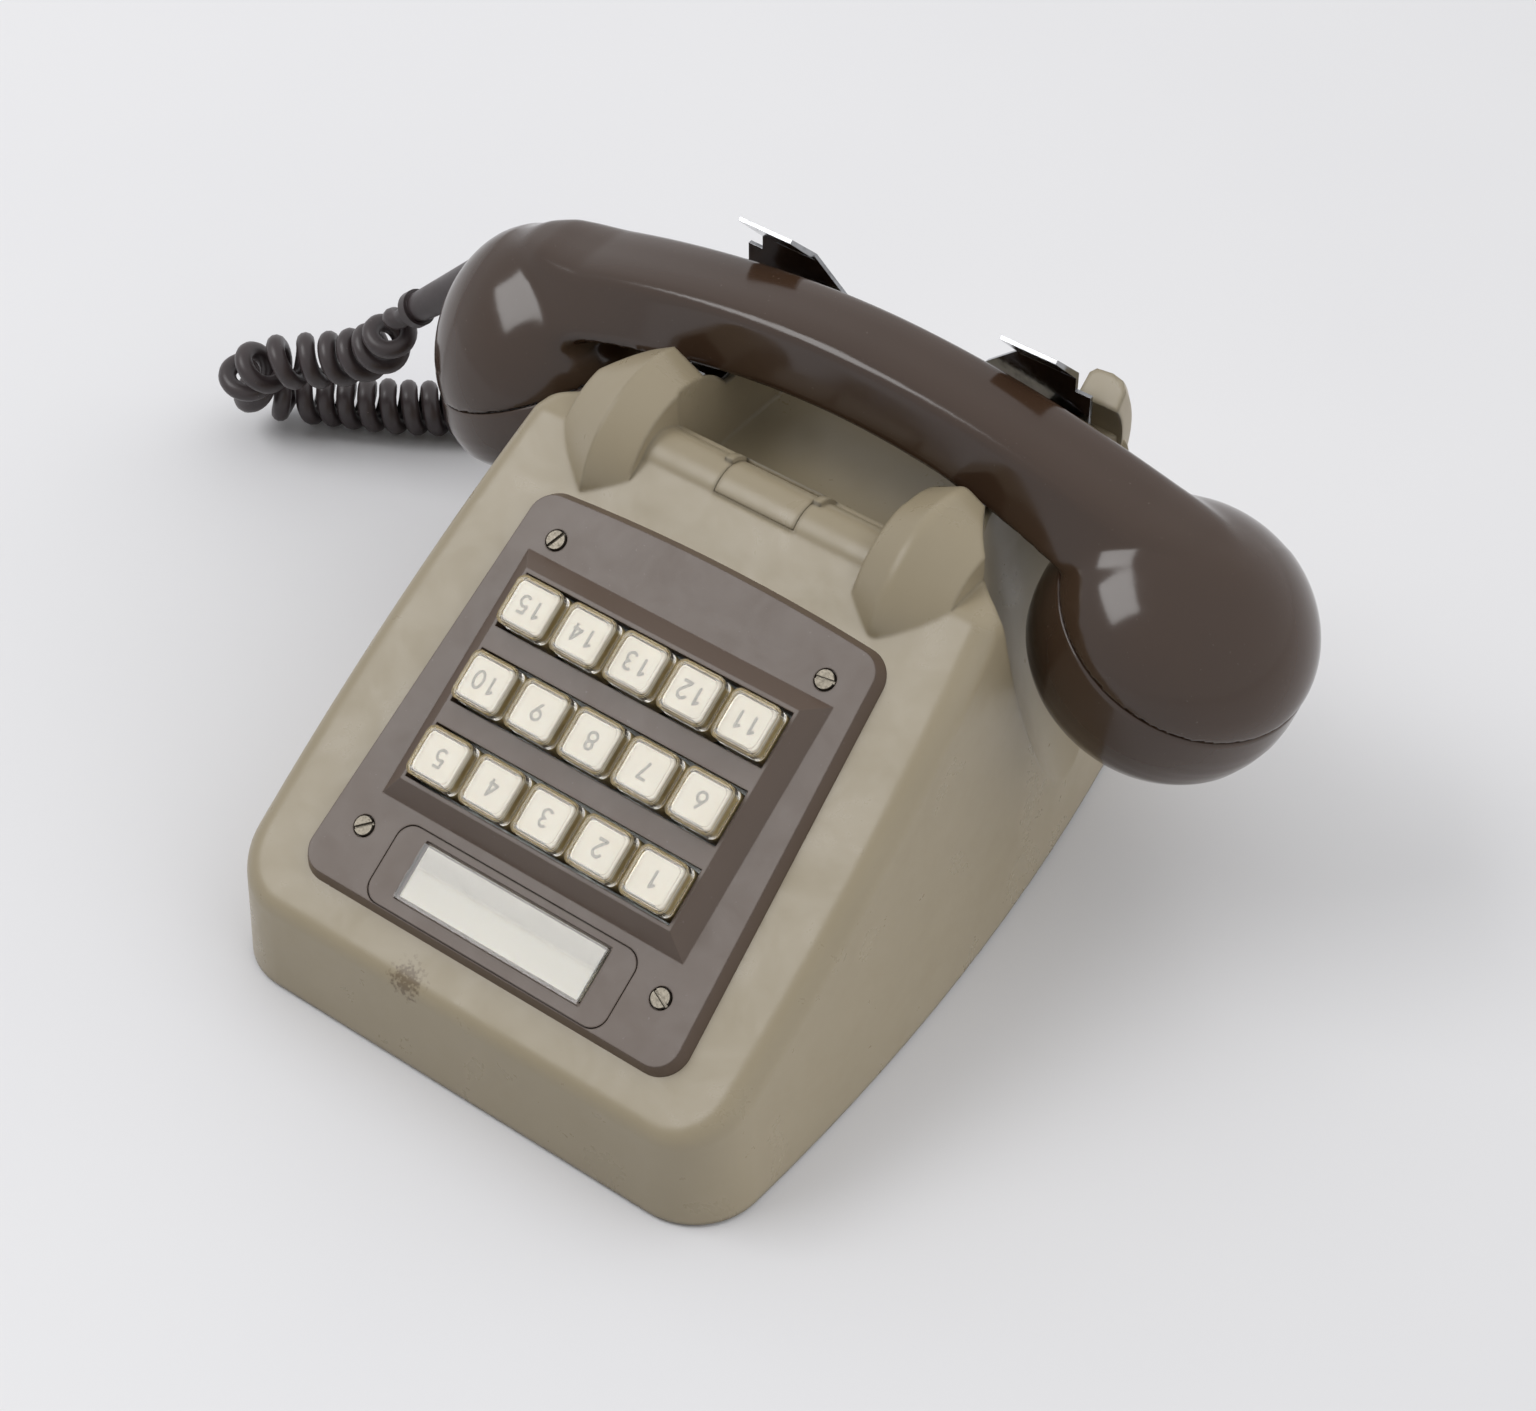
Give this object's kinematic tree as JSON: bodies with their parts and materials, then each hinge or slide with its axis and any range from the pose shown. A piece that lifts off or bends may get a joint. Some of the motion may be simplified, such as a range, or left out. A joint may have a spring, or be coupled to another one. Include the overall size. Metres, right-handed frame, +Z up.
{
  "type": "house telephone",
  "caption": "Desk house telephone with a sloping plate of numbered push keys, a handset across a cradle with chromed hooks, and a curly cord.",
  "frame": {"origin": "centre of the feet's and case's footprint, on the surface that the telephone stands on", "axes": "+X to the user's right along the handset, +Y from the front edge to the rear wall, +Z up"},
  "size_m": [0.305, 0.2384, 0.1196],
  "materials": {
    "case_moulding": "aged satin moulding",
    "faceplate_brown": "worn satin moulding",
    "handset_brown": "worn satin moulding",
    "key_cream": "smooth moulding",
    "key_clear": "clear moulding, polished",
    "label_paper": "plain card",
    "label_clear": "clear moulding, polished",
    "chromed_strip": "bright plating, worn",
    "plated_steel": "dull plating",
    "rubber_black": "matt",
    "cord_rubber": "matt, dusty",
    "inner_plastic": "plain moulding",
    "contact_bronze": "spring sheet",
    "inset_alloy": "plain pressing",
    "coil_winding": "lacquered wire"
  },
  "bodies": {
    "base": {"case": "case_moulding", "ridge_blank": "case_moulding", "base_plate": "plated_steel", "feet": "rubber_black", "case_screws": "plated_steel", "faceplate": "faceplate_brown", "faceplate_screws": "plated_steel", "label_insert": "faceplate_brown", "label_card": "label_paper", "label_window": "label_clear", "key_frame": "plated_steel", "contact_block": "inner_plastic", "contact_springs": "contact_bronze", "switch_springs": "contact_bronze", "buzzer": "coil_winding", "induction_coil": "coil_winding", "terminal_block": "inner_plastic", "case_grommet": "cord_rubber", "line_inlet_grommet": "rubber_black", "handset_cord": "cord_rubber"},
    "handset": {"handset_body": "handset_brown", "mouth_cap": "handset_brown", "ear_cap": "handset_brown", "transmitter_inset": "inset_alloy", "receiver_inset": "inset_alloy", "handset_grommet": "cord_rubber"},
    "cradle": {"cradle_hook_left": "chromed_strip", "cradle_hook_right": "chromed_strip", "cradle_shaft": "plated_steel"},
    "key_unit_01": {"key_01": "key_cream", "key_cap_01": "key_clear"},
    "key_unit_02": {"key_02": "key_cream", "key_cap_02": "key_clear"},
    "key_unit_03": {"key_03": "key_cream", "key_cap_03": "key_clear"},
    "key_unit_04": {"key_04": "key_cream", "key_cap_04": "key_clear"},
    "key_unit_05": {"key_05": "key_cream", "key_cap_05": "key_clear"},
    "key_unit_06": {"key_06": "key_cream", "key_cap_06": "key_clear"},
    "key_unit_07": {"key_07": "key_cream", "key_cap_07": "key_clear"},
    "key_unit_08": {"key_08": "key_cream", "key_cap_08": "key_clear"},
    "key_unit_09": {"key_09": "key_cream", "key_cap_09": "key_clear"},
    "key_unit_10": {"key_10": "key_cream", "key_cap_10": "key_clear"},
    "key_unit_11": {"key_11": "key_cream", "key_cap_11": "key_clear"},
    "key_unit_12": {"key_12": "key_cream", "key_cap_12": "key_clear"},
    "key_unit_13": {"key_13": "key_cream", "key_cap_13": "key_clear"},
    "key_unit_14": {"key_14": "key_cream", "key_cap_14": "key_clear"},
    "key_unit_15": {"key_15": "key_cream", "key_cap_15": "key_clear"}
  },
  "joints": [
    {"name": "handset_lift", "type": "slide", "parent": "base", "child": "handset", "axis": [0, -0.2924, 0.9563], "range_m": [0, 0.06], "deforming": ["handset_cord"]},
    {"name": "cradle_rise", "type": "hinge", "parent": "base", "child": "cradle", "pos_m": [0, 0.0667, 0.066], "axis": [-1, 0, 0], "range_deg": [0, 4]},
    {"name": "key_press_01", "type": "slide", "parent": "base", "child": "key_unit_01", "axis": [0, 0.5329, -0.8462], "range_m": [0, 0.003], "stiffness_N_per_m": 100, "springref_m": -0.004, "deforming": ["contact_springs"]},
    {"name": "key_press_02", "type": "slide", "parent": "base", "child": "key_unit_02", "axis": [0, 0.5329, -0.8462], "range_m": [0, 0.003], "stiffness_N_per_m": 100, "springref_m": -0.004, "deforming": ["contact_springs"]},
    {"name": "key_press_03", "type": "slide", "parent": "base", "child": "key_unit_03", "axis": [0, 0.5329, -0.8462], "range_m": [0, 0.003], "stiffness_N_per_m": 100, "springref_m": -0.004, "deforming": ["contact_springs"]},
    {"name": "key_press_04", "type": "slide", "parent": "base", "child": "key_unit_04", "axis": [0, 0.5329, -0.8462], "range_m": [0, 0.003], "stiffness_N_per_m": 100, "springref_m": -0.004, "deforming": ["contact_springs"]},
    {"name": "key_press_05", "type": "slide", "parent": "base", "child": "key_unit_05", "axis": [0, 0.5329, -0.8462], "range_m": [0, 0.003], "stiffness_N_per_m": 100, "springref_m": -0.004, "deforming": ["contact_springs"]},
    {"name": "key_press_06", "type": "slide", "parent": "base", "child": "key_unit_06", "axis": [0, 0.5329, -0.8462], "range_m": [0, 0.003], "stiffness_N_per_m": 100, "springref_m": -0.004, "deforming": ["contact_springs"]},
    {"name": "key_press_07", "type": "slide", "parent": "base", "child": "key_unit_07", "axis": [0, 0.5329, -0.8462], "range_m": [0, 0.003], "stiffness_N_per_m": 100, "springref_m": -0.004, "deforming": ["contact_springs"]},
    {"name": "key_press_08", "type": "slide", "parent": "base", "child": "key_unit_08", "axis": [0, 0.5329, -0.8462], "range_m": [0, 0.003], "stiffness_N_per_m": 100, "springref_m": -0.004, "deforming": ["contact_springs"]},
    {"name": "key_press_09", "type": "slide", "parent": "base", "child": "key_unit_09", "axis": [0, 0.5329, -0.8462], "range_m": [0, 0.003], "stiffness_N_per_m": 100, "springref_m": -0.004, "deforming": ["contact_springs"]},
    {"name": "key_press_10", "type": "slide", "parent": "base", "child": "key_unit_10", "axis": [0, 0.5329, -0.8462], "range_m": [0, 0.003], "stiffness_N_per_m": 100, "springref_m": -0.004, "deforming": ["contact_springs"]},
    {"name": "key_press_11", "type": "slide", "parent": "base", "child": "key_unit_11", "axis": [0, 0.5329, -0.8462], "range_m": [0, 0.003], "stiffness_N_per_m": 100, "springref_m": -0.004, "deforming": ["contact_springs"]},
    {"name": "key_press_12", "type": "slide", "parent": "base", "child": "key_unit_12", "axis": [0, 0.5329, -0.8462], "range_m": [0, 0.003], "stiffness_N_per_m": 100, "springref_m": -0.004, "deforming": ["contact_springs"]},
    {"name": "key_press_13", "type": "slide", "parent": "base", "child": "key_unit_13", "axis": [0, 0.5329, -0.8462], "range_m": [0, 0.003], "stiffness_N_per_m": 100, "springref_m": -0.004, "deforming": ["contact_springs"]},
    {"name": "key_press_14", "type": "slide", "parent": "base", "child": "key_unit_14", "axis": [0, 0.5329, -0.8462], "range_m": [0, 0.003], "stiffness_N_per_m": 100, "springref_m": -0.004, "deforming": ["contact_springs"]},
    {"name": "key_press_15", "type": "slide", "parent": "base", "child": "key_unit_15", "axis": [0, 0.5329, -0.8462], "range_m": [0, 0.003], "stiffness_N_per_m": 100, "springref_m": -0.004, "deforming": ["contact_springs"]}
  ],
  "couplings": [
    {"joint": "cradle_rise", "follows": "handset_lift", "rad_per_m": 1.16}
  ]
}
